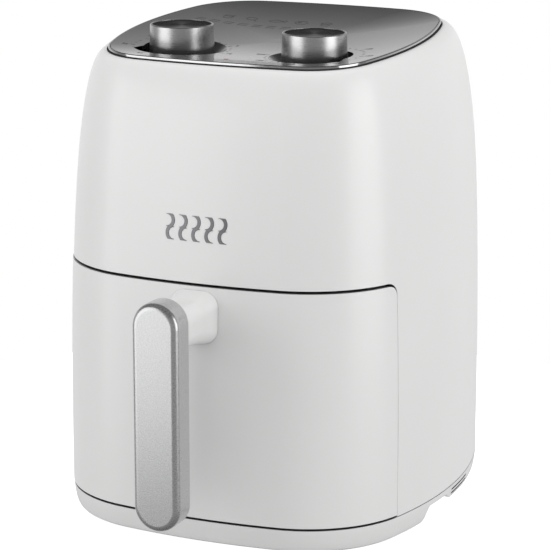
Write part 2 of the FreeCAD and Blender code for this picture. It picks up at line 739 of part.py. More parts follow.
def fan(radius, low, high, blades, pitch):
    """Bladed wheel: hub, disc and pitched blades around the motor shaft."""
    disc = rod(radius, (0, PAN_Y, high - 1.2), 1.2)
    hub = rod(7, (0, PAN_Y, low), high - low)
    blade = box((9, radius - 1), (PAN_Y - 0.6, PAN_Y + 0.6), (low, high - 0.6))
    blade = turned(blade, pitch, (radius, PAN_Y, 0))
    wheel = fuse([disc, hub] + around(blade, blades, (0, PAN_Y, 0)))
    return wheel.cut(rod(MOTOR_SHAFT_RADIUS, (0, PAN_Y, low - 5), 40))


def circulation_fan():
    return fan(56, 190, 205, 10, 12)


def cooling_fan():
    return fan(42, 222, 234, 12, 14)


def motor_shaft():
    return rod(MOTOR_SHAFT_RADIUS, (0, PAN_Y, 187), 274 - 187)


def motor_bracket():
    """Bridge that stands on the hood and carries the motor above the cooling fan."""
    top = box((-58, 58), (PAN_Y - 24, PAN_Y + 24), (BRIDGE_Z, BRIDGE_Z + 1.6))
    legs = [box((s * 57.2 - 0.8, s * 57.2 + 0.8), (PAN_Y - 24, PAN_Y + 24), (HOOD_TOP, BRIDGE_Z + 1.6))
            for s in (-1, 1)]
    feet = [box((s * 62 - 6, s * 62 + 6), (PAN_Y - 24, PAN_Y + 24), (HOOD_TOP, HOOD_TOP + 1.6))
            for s in (-1, 1)]
    return fuse([top] + legs + feet).cut(rod(8, (0, PAN_Y, 230), 20))


def motor():
    """Shaded-pole fan motor: round can with end bearings."""
    low = BRIDGE_Z + 1.6
    can = rod(MOTOR_RADIUS, (0, PAN_Y, low), 24)
    can = can.makeFillet(3, edges_at(can, low + 24))
    bearing = rod(9, (0, PAN_Y, low + 24), 6)
    return fuse([can, bearing]).cut(rod(MOTOR_SHAFT_RADIUS + 0.05, (0, PAN_Y, low - 5), 50))


def exhaust_duct():
    """Duct from the chamber's outlet to the rear slots."""
    outer = box((-52, 52), (PAN_Y + CHAMBER_DEPTH + 0.3, 128), (148, 182))
    inner = box((-50.5, 50.5), (90, 140), (149.5, 180.5))
    return outer.common(body(WALL + 1)).cut(inner)


def thermal_cutout():
    return fuse([rod(8, (-74, 40, HOOD_TOP), 5), rod(5, (-74, 40, HOOD_TOP + 5), 3)])


def terminal_block():
    """Block where the lead's wires join the fryer's own wiring."""
    block = box((46, 78), (104, 118), (54, 68))
    return cut_all(block, [rod(2.2, (52 + 10 * i, 100, 61), 10, (0, 1, 0)) for i in range(3)])


def wiring_loom():
    """Bundle of wires from the terminal block up to the controls."""
    return bent_rod([(70, 111, 68), (70, 111, 268), (70, -14, 292), (70, -26, 292)], 2.4, 14)


def interlock_switch():
    """Switch that cuts the heat when the drawer is out."""
    case = box((108.5, 117), (FRAME_BACK_Y + 0.5, FRAME_BACK_Y + 23), (149, 167))
    return case.cut(rod(1.8, (113, FRAME_BACK_Y - 5, 158), 20, (0, 1, 0)))


def interlock_plunger():
    return rod(1.5, (113, DRAWER_BACK_Y + 0.2, 158), 15, (0, 1, 0))


def drawer_rails():
    """Left and right rails that carry the pan's rim."""
    outer = CHAMBER_SIDE - SHEET
    rails = [box(sorted((s * 99, s * outer)), (-61, 36), (140, PAN_RIM_Z - 2.4)) for s in (-1, 1)]
    return Part.makeCompound(rails)


# ------------------------------------------------------------------ drawer

def drawer_block(shrink):
    return side_view_block(-200, DRAWER_BACK_Y - shrink, DRAWER_BOTTOM + shrink, DRAWER_TOP - shrink,
                           DRAWER_EDGE_ROUND - min(shrink, 4))


def handle_screw_holes(radius):
    return [rod(radius, (0, -158, z), 50, (0, 1, 0)) for z in (150, 167)]


def drawer_front():
    """White drawer front that follows the casing's curve, a little proud of it, with turned-in edges."""
    front = body(-DRAWER_PROUD, DRAWER_LEVELS).common(drawer_block(0))
    front = front.cut(body(WALL, DRAWER_LEVELS).common(drawer_block(2.5)))
    front = front.cut(body(11, DRAWER_LEVELS))
    return cut_all(front, handle_screw_holes(2.3))


def drawer_inner_panel():
    """Inner panel behind the drawer front, which carries the pan."""
    inside = body(WALL + 0.3, DRAWER_LEVELS)
    panel = inside.common(drawer_block(2.8)).cut(body(15.5, DRAWER_LEVELS))
    pocket = inside.cut(body(13, DRAWER_LEVELS)).common(drawer_block(5.3))
    return cut_all(panel.cut(pocket), handle_screw_holes(2.3))


def pan_outline(grow):
    return rounded(PAN_HALF_WIDTH + grow, PAN_HALF_DEPTH + grow, PAN_CORNER + grow, PAN_Y)


def pan():
    """Non-stick pan: pressed tub with a turned-out rim."""
    outer = prism(pan_outline(0), PAN_FLOOR_Z, PAN_RIM_Z)
    outer = outer.makeFillet(14, edges_at(outer, PAN_FLOOR_Z))
    rim = prism(pan_outline(5), PAN_RIM_Z - 2, PAN_RIM_Z)
    hollow = prism(pan_outline(-PAN_WALL), PAN_FLOOR_Z + PAN_WALL, PAN_RIM_Z + 5)
    hollow = hollow.makeFillet(12.5, edges_at(hollow, PAN_FLOOR_Z + PAN_WALL))
    return fuse([outer, rim]).cut(hollow)


def pan_bracket():
    """Channel between the pan's front and the drawer's inner panel."""
    front_y = PAN_Y - PAN_HALF_DEPTH
    plate = box((-34, 34), (front_y - 2, front_y), (66, 128))
    arms = [box((s * 33 - 1, s * 33 + 1), (-130, front_y), (66, 128)) for s in (-1, 1)]
    shelf = box((-34, 34), (-130, front_y), (126, 128))
    return fuse([plate, shelf] + arms).common(body(15.5, DRAWER_LEVELS))


def crisper_plate():
    """Perforated plate that stands on four pressed legs, with a lifting loop."""
    top = CRISPER_Z + CRISPER_THICK
    plate = prism(pan_outline(-CRISPER_GAP), CRISPER_Z, top)
    holes = []
    for radius, count in ((26, 8), (42, 14), (58, 20), (74, 26)):
        holes += around(rod(3.2, (radius, PAN_Y, CRISPER_Z - 1), 5), count, (0, PAN_Y, 0), 180 / count)
    plate = cut_all(plate, holes)
    floor_z = PAN_FLOOR_Z + PAN_WALL + 0.3
    legs = [cone(4, 6, (x, PAN_Y + y, floor_z), CRISPER_Z - floor_z) for x in (-66, 66) for y in (-66, 66)]
    ring = Part.makeTorus(9, 1.4, Vector(0, PAN_Y, top + 1), Vector(0, 1, 0))
    loop = ring.common(box((-20, 20), (PAN_Y - 5, PAN_Y + 5), (CRISPER_Z, top + 20)))
    return fuse([plate, loop] + legs)


def plate_bumpers():
    """Silicone pads clipped over the crisper plate's edge."""
    edge_x = PAN_HALF_WIDTH - CRISPER_GAP
    edge_y = PAN_HALF_DEPTH - CRISPER_GAP
    pads = []
    for side in (-1, 1):
        pads.append(box(sorted((side * (edge_x - 4), side * (edge_x + 1.7))), (PAN_Y - 8, PAN_Y + 8),
                        (CRISPER_Z - 3, CRISPER_Z + 4.6)))
        ys = sorted((PAN_Y + side * (edge_y - 4), PAN_Y + side * (edge_y + 1.7)))
        pads.append(box((-8, 8), ys, (CRISPER_Z - 3, CRISPER_Z + 4.6)))
    slot = prism(pan_outline(-CRISPER_GAP), CRISPER_Z, CRISPER_Z + CRISPER_THICK)
    return Part.makeCompound([pad.cut(slot) for pad in pads])


# ------------------------------------------------------------------ handle

def stadium(shrink, front, back):
    """Upright bar with fully round ends, between two depths."""
    radius = GRIP_HALF_WIDTH - shrink
    low = GRIP_LOW + GRIP_HALF_WIDTH
    high = GRIP_HIGH - GRIP_HALF_WIDTH
    depth = back - front
    ends = [rod(radius, (0, front, z), depth, (0, 1, 0)) for z in (low, high)]
    return fuse(ends + [box((-radius, radius), (front, back), (low, high))])


def edges_at_depth(shape, y):
    return [e for e in shape.Edges if abs(e.BoundBox.YMax - y) < 1e-4 and abs(e.BoundBox.YMin - y) < 1e-4]


def handle_cover():
    """Satin metal cover over the grip: flat face, rounded edges, open at the back."""
    back = GRIP_BACK - 0.8
    cover = stadium(0, GRIP_FRONT, back)
    cover = cover.makeFillet(4.2, edges_at_depth(cover, GRIP_FRONT))
    cover = cover.makeFillet(1.2, edges_at_depth(cover, back))
    return cover.cut(stadium(COVER_WALL, GRIP_FRONT + 4.4, back + 1))


def handle_core():
    """Plastic core inside the cover, which closes the grip's back."""
    core = stadium(COVER_WALL + 0.1, GRIP_FRONT + 4.5, GRIP_BACK)
    return core.makeFillet(2.0, edges_at_depth(core, GRIP_BACK))


def neck_section(y, half_width, low, high, radius):
    wire = rounded(half_width, (high - low) / 2, radius)
    return moved(turned(wire, 90, axis=(1, 0, 0)), y=y, z=(low + high) / 2)


def handle_neck():
    """White neck from the drawer front to the grip, flared where it meets the front."""
    sections = [
        neck_section(GRIP_BACK, 13.2, 146, 171, 9),
        neck_section(-162, 13.4, 145, 170.5, 9),
        neck_section(-148, 14.4, 143.6, 172, 9.5),
        neck_section(-140, 15.8, 142, 174, 10),
        neck_section(-134.5, 17.2, 141, 176.2, 10.5),
        neck_section(-132, 17.4, 140.8, 176.6, 10.5),
    ]
    neck = Part.makeLoft(sections, True).cut(body(-DRAWER_PROUD, DRAWER_LEVELS))
    return cut_all(neck, handle_screw_holes(1.7))


def handle_screws():
    """Screws from inside the drawer through its front into the neck."""
    screws = []
    for z in (150, 167):
        shank = rod(1.65, (0, -157, z), 157 - 117.2, (0, 1, 0))
        head = rod(3.6, (0, -117.2, z), 2.4, (0, 1, 0))
        slot = box((-2.8, 2.8), (-115.8, -114), (z - 0.5, z + 0.5))
        screws.append(fuse([shank, head]).cut(slot))
    return Part.makeCompound(screws)


# ------------------------------------------------------------------ export

PARTS = {
    "outer_shell": outer_shell,
    "rear_cover": rear_cover,
    "front_frame": front_frame,
    "base_tray": base_tray,
    "rubber_feet": rubber_feet,
    "base_screws": base_screws,
    "cord_gland": cord_gland,
    "emblem": emblem,
    "top_panel": top_panel,
    "panel_trim": panel_trim,
    "panel_seal": panel_seal,
    "timer_knob": lambda: knob(-KNOB_X),
    "timer_knob_cap": lambda: knob_cap(-KNOB_X),
    "timer_knob_collar": lambda: knob_collar(-KNOB_X),
    "timer_shaft": lambda: knob_shaft(-KNOB_X),
    "timer_unit": timer_unit,
    "timer_bell": timer_bell,
    "temperature_knob": lambda: knob(KNOB_X),
    "temperature_knob_cap": lambda: knob_cap(KNOB_X),
    "temperature_knob_collar": lambda: knob_collar(KNOB_X),
    "temperature_shaft": lambda: knob_shaft(KNOB_X),
    "thermostat_unit": thermostat_unit,
    "thermostat_sensor": thermostat_sensor,
    "control_bracket": control_bracket,
    "indicator_lens": indicator_lens,
    "indicator_lamp": indicator_lamp,
    "chamber_hood": chamber_hood,
    "chamber_wall": chamber_wall,
    "insulation_pad": insulation_pad,
    "heating_element": heating_element,
    "element_clips": element_clips,
    "element_guard": element_guard,
    "circulation_fan": circulation_fan,
    "cooling_fan": cooling_fan,
    "motor_shaft": motor_shaft,
    "motor_bracket": motor_bracket,
    "motor": motor,
    "exhaust_duct": exhaust_duct,
    "thermal_cutout": thermal_cutout,
    "terminal_block": terminal_block,
    "wiring_loom": wiring_loom,
    "interlock_switch": interlock_switch,
    "interlock_plunger": interlock_plunger,
    "drawer_rails": drawer_rails,
    "drawer_front": drawer_front,
    "drawer_inner_panel": drawer_inner_panel,
    "pan": pan,
    "pan_bracket": pan_bracket,
    "crisper_plate": crisper_plate,
    "plate_bumpers": plate_bumpers,
    "handle_neck": handle_neck,
    "handle_cover": handle_cover,
    "handle_core": handle_core,
    "handle_screws": handle_screws,
}


def main():
    os.makedirs("parts", exist_ok=True)
    for name, make in PARTS.items():
        shape = make()
        shape.translate(TO_FOOTPRINT_MIDDLE)
        shape.exportStep(f"parts/{name}.step")
        print(f"{name}: {len(shape.Solids)} solids, {shape.Volume / 1000:.1f} cm3, valid {shape.isValid()}")


main()
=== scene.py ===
import json
import math

import bpy
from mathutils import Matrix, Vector
from mathutils.bvhtree import BVHTree


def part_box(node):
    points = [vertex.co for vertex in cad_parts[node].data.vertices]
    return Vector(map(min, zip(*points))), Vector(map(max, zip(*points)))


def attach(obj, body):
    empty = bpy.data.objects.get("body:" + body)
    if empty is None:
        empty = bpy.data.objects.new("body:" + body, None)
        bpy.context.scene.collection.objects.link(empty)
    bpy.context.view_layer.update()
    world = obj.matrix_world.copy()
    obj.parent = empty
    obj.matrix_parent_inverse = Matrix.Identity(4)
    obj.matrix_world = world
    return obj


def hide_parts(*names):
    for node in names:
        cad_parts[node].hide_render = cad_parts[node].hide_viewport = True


# Looks of the hot-air fryer, in metres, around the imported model's bodies.

MM = 0.001

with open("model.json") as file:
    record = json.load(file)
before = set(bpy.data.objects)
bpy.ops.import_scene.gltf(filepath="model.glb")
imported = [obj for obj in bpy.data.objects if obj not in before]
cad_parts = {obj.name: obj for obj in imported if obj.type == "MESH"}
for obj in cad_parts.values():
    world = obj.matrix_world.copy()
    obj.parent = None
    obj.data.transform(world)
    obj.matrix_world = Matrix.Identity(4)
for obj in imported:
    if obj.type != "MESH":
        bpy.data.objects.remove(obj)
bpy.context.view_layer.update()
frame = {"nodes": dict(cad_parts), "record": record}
nodes = frame["nodes"]
scene = bpy.context.scene


def middle_of(node):
    low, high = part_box(node)
    return (low + high) / 2


BODY_MIDDLE = middle_of("base_tray")
TIMER_AXIS = middle_of("timer_shaft")
HEAT_AXIS = middle_of("temperature_shaft")


# ------------------------------------------------------------------ materials

class Look:
    """A procedural material: uniform values sit on the shader, textures drive colour, gloss and relief."""

    def __init__(self, name, **uniform):
        self.material = bpy.data.materials.new(name)
        self.material.use_nodes = True
        self.tree = self.material.node_tree
        self.shader = self.tree.nodes["Principled BSDF"]
        self.place = self.add("ShaderNodeTexCoord").outputs["Object"]
        for socket, value in uniform.items():
            self.shader.inputs[socket.replace("_", " ")].default_value = value

    def add(self, kind, links=None, **settings):
        node = self.tree.nodes.new(kind)
        for key, value in settings.items():
            if key in node.inputs:
                node.inputs[key].default_value = value
            else:
                setattr(node, key, value)
        for socket, source in (links or {}).items():
            self.tree.links.new(source, node.inputs[socket])
        return node

    def stretched(self, stretch):
        return self.add("ShaderNodeMapping", {"Vector": self.place}, Scale=stretch).outputs[0]

    def noise(self, size, detail=3.0, stretch=(1, 1, 1)):
        """Smooth noise whose features are about size millimetres wide."""
        settings = {"Scale": 1 / (size * MM), "Detail": detail}
        return self.add("ShaderNodeTexNoise", {"Vector": self.stretched(stretch)}, **settings).outputs["Fac"]

    def cells(self, size, output="Distance"):
        return self.add("ShaderNodeTexVoronoi", {"Vector": self.place}, Scale=1 / (size * MM)).outputs[output]

    def colours(self, factor, *stops):
        """Base colour from a ramp of (place, colour) stops."""
        ramp = self.add("ShaderNodeValToRGB", {"Fac": factor})
        elements = ramp.color_ramp.elements
        for element, (place, colour) in zip(elements, (stops[0], stops[-1])):
            element.position = place
            element.color = (*colour, 1)
        for place, colour in stops[1:-1]:
            elements.new(place).color = (*colour, 1)
        self.tree.links.new(ramp.outputs["Color"], self.shader.inputs["Base Color"])
        return self

    def tones(self, factor, colour, spread):
        """Base colour that wanders a little around one tone."""
        dark = [c * (1 - spread) for c in colour]
        light = [min(c * (1 + spread), 1) for c in colour]
        return self.colours(factor, (0.3, dark), (0.7, light))

    def gloss(self, factor, low, high):
        settings = {"From Min": 0.3, "From Max": 0.7, "To Min": low, "To Max": high}
        spread = self.add("ShaderNodeMapRange", {"Value": factor}, **settings)
        self.tree.links.new(spread.outputs["Result"], self.shader.inputs["Roughness"])
        return self

    def relief(self, height, depth, strength=1.0):
        """Fine bump, depth in millimetres, on top of any earlier one."""
        bump = self.add("ShaderNodeBump", {"Height": height}, Strength=strength, Distance=depth * MM)
        normal = self.shader.inputs["Normal"]
        if normal.links:
            self.tree.links.new(normal.links[0].from_socket, bump.inputs["Normal"])
        self.tree.links.new(bump.outputs["Normal"], normal)
        return self

    def crevices(self, reach):
        """Painted shade: darkens the base colour in the gaps between pieces that are less than reach
        millimetres apart.
        """
        base = self.shader.inputs["Base Color"]
        near = self.add("ShaderNodeAmbientOcclusion", Distance=reach * MM, samples=8)
        settings = {"From Min": 0.3, "From Max": 0.7, "To Min": 0.01, "To Max": 1.0}
        painted_shade_mask = self.add("ShaderNodeMapRange", {"Value": near.outputs["AO"]}, **settings)
        sources = {0: base.links[0].from_socket, 1: painted_shade_mask.outputs["Result"]}
        product = self.add("ShaderNodeVectorMath", sources, operation="MULTIPLY")
        self.tree.links.new(product.outputs[0], base)
        return self

    def turned(self):
        """Stretches the highlight across lines that run round the piece's own upright axis."""
        tangent = self.add("ShaderNodeTangent", direction_type="RADIAL", axis="Z")
        self.tree.links.new(tangent.outputs[0], self.shader.inputs["Tangent"])
        return self


def plastic(name, colour, low, high, grain=0.5, depth=0.006, spread=0.012):
    look = Look(name)
    look.tones(look.noise(60), colour, spread)
    texture = look.noise(grain, 2.0)
    return look.gloss(texture, low, high).relief(texture, depth)


def brushed(name, colour, low, high, stretch, spread=0.06, depth=0.01):
    """Metal with fine lines, along the axes whose stretch is small."""
    look = Look(name, Metallic=1.0)
    lines = look.noise(0.35, 3.0, stretch)
    look.tones(lines, colour, spread)
    return look.gloss(lines, low, high).relief(lines, depth)


# Reach in millimetres of the painted shade that darkens the white parts' colour in their gaps.
PAINTED_SHADE_REACH = 4


def white_shell():
    """Satin lacquer over white plastic, with a fine grain."""
    look = Look("white_shell", Coat_Weight=0.35, Coat_Roughness=0.18)
    look.tones(look.noise(70), (0.80, 0.80, 0.795), 0.008)
    texture = look.noise(0.6, 2.0)
    # The last step paints shade into the shell's colour where other pieces stand close.
    return look.gloss(texture, 0.34, 0.42).relief(texture, 0.004).crevices(PAINTED_SHADE_REACH)


def base_white():
    # The last step paints shade into the base's colour where other pieces stand close.
    return plastic("base_white", (0.77, 0.77, 0.765), 0.38, 0.46).crevices(PAINTED_SHADE_REACH)


def frame_black():
    return plastic("frame_black", (0.022, 0.022, 0.024), 0.45, 0.6, 0.8, 0.03, 0.1)


def inner_grey():
    return plastic("inner_grey", (0.16, 0.16, 0.168), 0.42, 0.55, 0.8, 0.03, 0.05)


def panel_metallic():
    """Dark metallic lacquer: fine flakes under a clear, mirror-like coat."""
    look = Look("panel_metallic", Metallic=1.0, Coat_Weight=0.4, Coat_Roughness=0.04)
    flakes = look.cells(0.35, "Color")
    look.tones(flakes, (0.24, 0.24, 0.243), 0.04)
    return look.gloss(look.noise(0.5), 0.10, 0.14)


def polished_trim():
    """Bright ring with a slightly uneven polish."""
    look = Look("polished_trim", Metallic=1.0)
    look.tones(look.noise(15), (0.62, 0.62, 0.63), 0.03)
    return look.gloss(look.noise(2.0), 0.08, 0.14)


RING_PITCH = 0.2


def knob_metal():
    """Skirt with fine lines running round it."""
    look = Look("knob_metal", Metallic=1.0, Anisotropic=0.5)
    lines = look.noise(0.2, 4.0, (0.02, 0.02, 1))
    look.tones(lines, (0.60, 0.60, 0.605), 0.03)
    return look.gloss(lines, 0.26, 0.32).relief(lines, 0.0006).turned()


def knob_disc():
    """Spun disc: very fine rings give it a fan-shaped shine."""
    look = Look("knob_disc", Metallic=1.0, Anisotropic=0.8, Specular_Tint=(0.3, 0.3, 0.3, 1))
    radius = look.add("ShaderNodeVectorMath", {0: look.stretched((1, 1, 0))}, operation="LENGTH")
    settings = {"noise_dimensions": "1D", "Scale": 1 / (RING_PITCH * MM)}
    rings = look.add("ShaderNodeTexNoise", {"W": radius.outputs["Value"]}, **settings).outputs["Fac"]
    look.tones(rings, (0.07, 0.07, 0.072), 0.12)
    return look.gloss(rings, 0.22, 0.34).relief(rings, 0.001).turned()


def handle_metal():
    """Satin silver finish with very fine flakes."""
    look = Look("handle_metal", Metallic=0.85)
    flakes = look.noise(0.3, 4.0)
    look.tones(flakes, (0.64, 0.64, 0.645), 0.02)
    return look.gloss(flakes, 0.24, 0.3).relief(flakes, 0.002)


def emblem_silver():
    return brushed("emblem_silver", (0.20, 0.20, 0.21), 0.25, 0.4, (0.1, 1, 1))


def rubber(name, colour):
    look = Look(name, Specular_IOR_Level=0.3)
    look.tones(look.noise(8), colour, 0.15)
    grain = look.noise(0.6, 4.0)
    return look.gloss(grain, 0.6, 0.8).relief(grain, 0.03)


def screw_steel():
    return brushed("screw_steel", (0.58, 0.58, 0.6), 0.22, 0.36, (1, 1, 0.2))


def galvanised():
    """Aluminised sheet with faint spangle."""
    look = Look("galvanised", Metallic=1.0)
    spangle = look.cells(7, "Color")
    look.tones(spangle, (0.6, 0.61, 0.62), 0.09)
    return look.gloss(spangle, 0.3, 0.42).relief(look.noise(1.5), 0.02)


def element_steel():
    """Tube that heat has tinted in straw and blue-grey patches."""
    look = Look("element_steel", Metallic=1.0)
    blue_grey, bronze, straw = (0.2, 0.2, 0.23), (0.32, 0.29, 0.26), (0.38, 0.33, 0.26)
    look.colours(look.noise(26), (0.3, blue_grey), (0.5, bronze), (0.7, straw))
    grain = look.noise(0.5, 4.0)
    return look.gloss(grain, 0.36, 0.5).relief(grain, 0.01)


def guard_wire():
    return brushed("guard_wire", (0.68, 0.68, 0.69), 0.14, 0.24, (1, 1, 1), 0.04, 0.004)


def fan_steel():
    return brushed("fan_steel", (0.62, 0.62, 0.63), 0.26, 0.38, (0.15, 1, 1))


def fan_plastic():
    return plastic("fan_plastic", (0.05, 0.05, 0.052), 0.4, 0.55, 0.8, 0.02, 0.08)


def motor_steel():
    return brushed("motor_steel", (0.42, 0.42, 0.44), 0.3, 0.44, (1, 1, 0.1))


def insulation():
    """Glass-fibre felt: matted fibres in two directions."""
    look = Look("insulation", Sheen_Weight=0.4, Sheen_Roughness=0.6)
    fibres = look.noise(1.2, 6.0, (0.15, 1, 1))
    look.colours(fibres, (0.3, (0.56, 0.53, 0.45)), (0.7, (0.82, 0.8, 0.73)))
    return look.gloss(fibres, 0.85, 0.98).relief(fibres, 0.5).relief(look.noise(1.0, 6.0, (1, 0.15, 1)), 0.4)


def ceramic():
    look = Look("ceramic", Coat_Weight=0.5, Coat_Roughness=0.1)
    look.tones(look.noise(4), (0.8, 0.78, 0.72), 0.03)
    return look.gloss(look.noise(1.0), 0.25, 0.35).relief(look.noise(0.8), 0.01)


def nonstick():
    """Dark coating with tiny pale specks and a soft orange-peel."""
    look = Look("nonstick", Coat_Weight=0.25, Coat_Roughness=0.3)
    specks = look.cells(1.6)
    look.colours(specks, (0.07, (0.22, 0.22, 0.23)), (0.16, (0.035, 0.035, 0.037)))
    return look.gloss(look.noise(1.0), 0.36, 0.46).relief(look.noise(1.4, 2.0), 0.02)


def tinted_glass(name, colour):
    look = Look(name, Transmission_Weight=0.5, IOR=1.49)
    look.tones(look.noise(1.5), colour, 0.1)
    return look.gloss(look.noise(0.5), 0.05, 0.12)


def bell_steel():
    return brushed("bell_steel", (0.7, 0.67, 0.6), 0.1, 0.2, (1, 1, 0.1), 0.03, 0.003)


def print_ink():
    """Screen-printed marks, darker and duller than the panel."""
    look = Look("print_ink", Metallic=0.3)
    grain = look.noise(0.3)
    look.tones(grain, (0.06, 0.06, 0.062), 0.1)
    return look.gloss(grain, 0.4, 0.5)


def floor_paint():
    """Matt white that glows a little, so that shadows stay faint."""
    look = Look("floor_paint", Specular_IOR_Level=0.0, Emission_Color=(1, 1, 1, 1), Emission_Strength=1.0)
    look.tones(look.noise(300), (0.72, 0.72, 0.72), 0.004)
    return look.gloss(look.noise(40), 0.85, 0.95)


SLOTS = {
    "white_shell": white_shell,
    "base_white": base_white,
    "frame_black": frame_black,
    "inner_grey": inner_grey,
    "panel_metallic": panel_metallic,
    "polished_trim": polished_trim,
    "knob_metal": knob_metal,
    "knob_disc": knob_disc,
    "handle_metal": handle_metal,
    "emblem_silver": emblem_silver,
    "seal_rubber": lambda: rubber("seal_rubber", (0.02, 0.02, 0.02)),
    "foot_rubber": lambda: rubber("foot_rubber", (0.035, 0.035, 0.035)),
    "screw_steel": screw_steel,
    "galvanised": galvanised,
    "element_steel": element_steel,
    "guard_wire": guard_wire,
    "fan_steel": fan_steel,
    "fan_plastic": fan_plastic,
    "motor_steel": motor_steel,
    "insulation": insulation,
    "ceramic": ceramic,
    "wire_sleeve": lambda: rubber("wire_sleeve", (0.36, 0.05, 0.04)),
    "nonstick": nonstick,
    "silicone": lambda: rubber("silicone", (0.045, 0.045, 0.047)),
    "lens_red": lambda: tinted_glass("lens_red", (0.45, 0.03, 0.02)),
    "lamp_glass": lambda: tinted_glass("lamp_glass", (0.8, 0.4, 0.2)),
    "bell_steel": bell_steel,
}
materials = {slot: make().material for slot, make in SLOTS.items()}
ink = print_ink().material

for subpart in frame["record"]["subparts"]:
    slots = nodes[subpart["node"]].data.materials
    slots.clear()
    slots.append(materials[subpart["material_slot"]])


# ------------------------------------------------------------------ mesh helpers

def new_object(name, mesh, material, place=(0, 0, 0)):
    piece = bpy.data.objects.new(name, mesh)
    piece.location = place
    piece.data.materials.append(material)
    scene.collection.objects.link(piece)
    return piece


def quarter(centre, radius, start, end, steps=8):
    """Points of an arc in a profile; angles in degrees."""
    angles = [math.radians(start + (end - start) * i / steps) for i in range(steps + 1)]
    return [(centre[0] + radius * math.cos(a), centre[1] + radius * math.sin(a)) for a in angles]


SHARP_ANGLE = math.radians(32)


def lathe(name, profile, axis, material, steps=144):
    """Solid of revolution round axis; profile is a closed run of (radius, height) in millimetres."""
    vertices = []
    for i in range(steps):
        turn = 2 * math.pi * i / steps
        vertices += [(r * MM * math.cos(turn), r * MM * math.sin(turn), z * MM) for r, z in profile]
    count = len(profile)
    faces = []
    for i in range(steps):
        here, there = i * count, (i + 1) % steps * count
        for j in range(count):
            k = (j + 1) % count
            faces.append((here + j, there + j, there + k, here + k))
    mesh = bpy.data.meshes.new(name)
    mesh.from_pydata(vertices, [], faces)
    mesh.shade_smooth()
    mesh.set_sharp_from_angle(angle=SHARP_ANGLE)
    return new_object(name, mesh, material, axis)


# ------------------------------------------------------------------ knobs

# All in millimetres.
SKIRT_TAPER = 0.6
FOOT_ROUND = 0.5
RIM_WIDTH = 1.5
RIM_ROUND = 0.7
LIP_ROUND = 0.4
HOLLOW_DEPTH = 5.0
UNDERCUT = 0.6
GROOVE_WIDTH = 0.45
DISC_BEVEL = 0.3
DISC_DISH = 0.45
DISC_SUNK = 0.4
AXIS_HOLE = 0.01


def knob(node, axis):
    """Spun metal skirt with soft edges, a raised rim and a hollow top that the disc sits in."""
    low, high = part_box(node)
    height = (high.z - low.z) / MM
    base = (high.x - low.x) / MM / 2
    top = base - SKIRT_TAPER
    inner = top - RIM_WIDTH
    profile = [(inner - UNDERCUT, 0.0), (base - FOOT_ROUND, 0.0)]
    profile += quarter((base - FOOT_ROUND, FOOT_ROUND), FOOT_ROUND, -90, 0, 4)
    profile += quarter((top - RIM_ROUND, height - RIM_ROUND), RIM_ROUND, 0, 90)
    profile += quarter((inner + LIP_ROUND, height - LIP_ROUND), LIP_ROUND, 90, 180, 5)
    profile += [(inner, height - HOLLOW_DEPTH), (inner - UNDERCUT, height - HOLLOW_DEPTH)]
    return lathe(node + "_skirt", profile, (axis.x, axis.y, low.z), materials["knob_metal"])


def knob_top(node, axis):
    """Slightly dished disc with a bevelled edge, a fine groove away from the skirt's rim."""
    low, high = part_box(node + "_cap")
    thick = (high.z - low.z) / MM
    skirt_low, skirt_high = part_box(node)
    skirt_radius = (skirt_high.x - skirt_low.x) / MM / 2
    radius = skirt_radius - SKIRT_TAPER - RIM_WIDTH - GROOVE_WIDTH
    face = radius - DISC_BEVEL
    profile = [(AXIS_HOLE, 0.0), (radius, 0.0), (radius, thick - DISC_BEVEL), (face, thick)]
    shares = [i / 10 for i in range(9, 0, -1)]
    profile += [(face * share, thick - DISC_DISH * (1 - share * share)) for share in shares]
    profile.append((AXIS_HOLE, thick - DISC_DISH))
    seat = skirt_high.z - (thick + DISC_SUNK) * MM
    return lathe(node + "_disc", profile, (axis.x, axis.y, seat), materials["knob_disc"])


for dial, axis in (("timer", TIMER_AXIS), ("temperature", HEAT_AXIS)):
    node = dial + "_knob"
    skirt = knob(node, axis)
    disc = knob_top(node, axis)
    for piece, replaced, slot in ((skirt, node, "knob_metal"), (disc, node + "_cap", "knob_disc")):
        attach(piece, dial + "_dial")
        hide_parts(replaced)


# ------------------------------------------------------------------ printed marks on the panel

plate = nodes["top_panel"].data
plate_surface = BVHTree.FromPolygons([v.co for v in plate.vertices], [p.vertices for p in plate.polygons])
INK_THICK = 0.06 * MM
INK_SUNK = 0.04 * MM

# All in millimetres; rows are measured back from the timer's axis, and starts across from it.
TICK_RADIUS = 32.2
LONG_TICK = 3.0
SHORT_TICK = 1.8
TICK_WIDTH = 0.45
NUMBER_RADIUS = 39.0
NUMBER_SIZE = 4.2
PICTURE_ROW = 104
PICTURE_START = -14
PICTURE_PITCH = 19
PICTURE_LINE = 0.5
DASH_ROWS = (86, 90)
DASH_START = -32
DASH_PITCH = 11
DASH_LENGTH = 7
DASH_LINE = 0.6

DASHES = 8
TICKS_PER_NUMBER = 4
TIMER_NUMBERS = range(0, 31, 5)
TIMER_TURN = 300
HEAT_NUMBERS = range(80, 201, 20)
HEAT_TURN = 270


def plate_height(x, y):
    return plate_surface.ray_cast(Vector((x, y, 1)), Vector((0, 0, -1)))[0].z


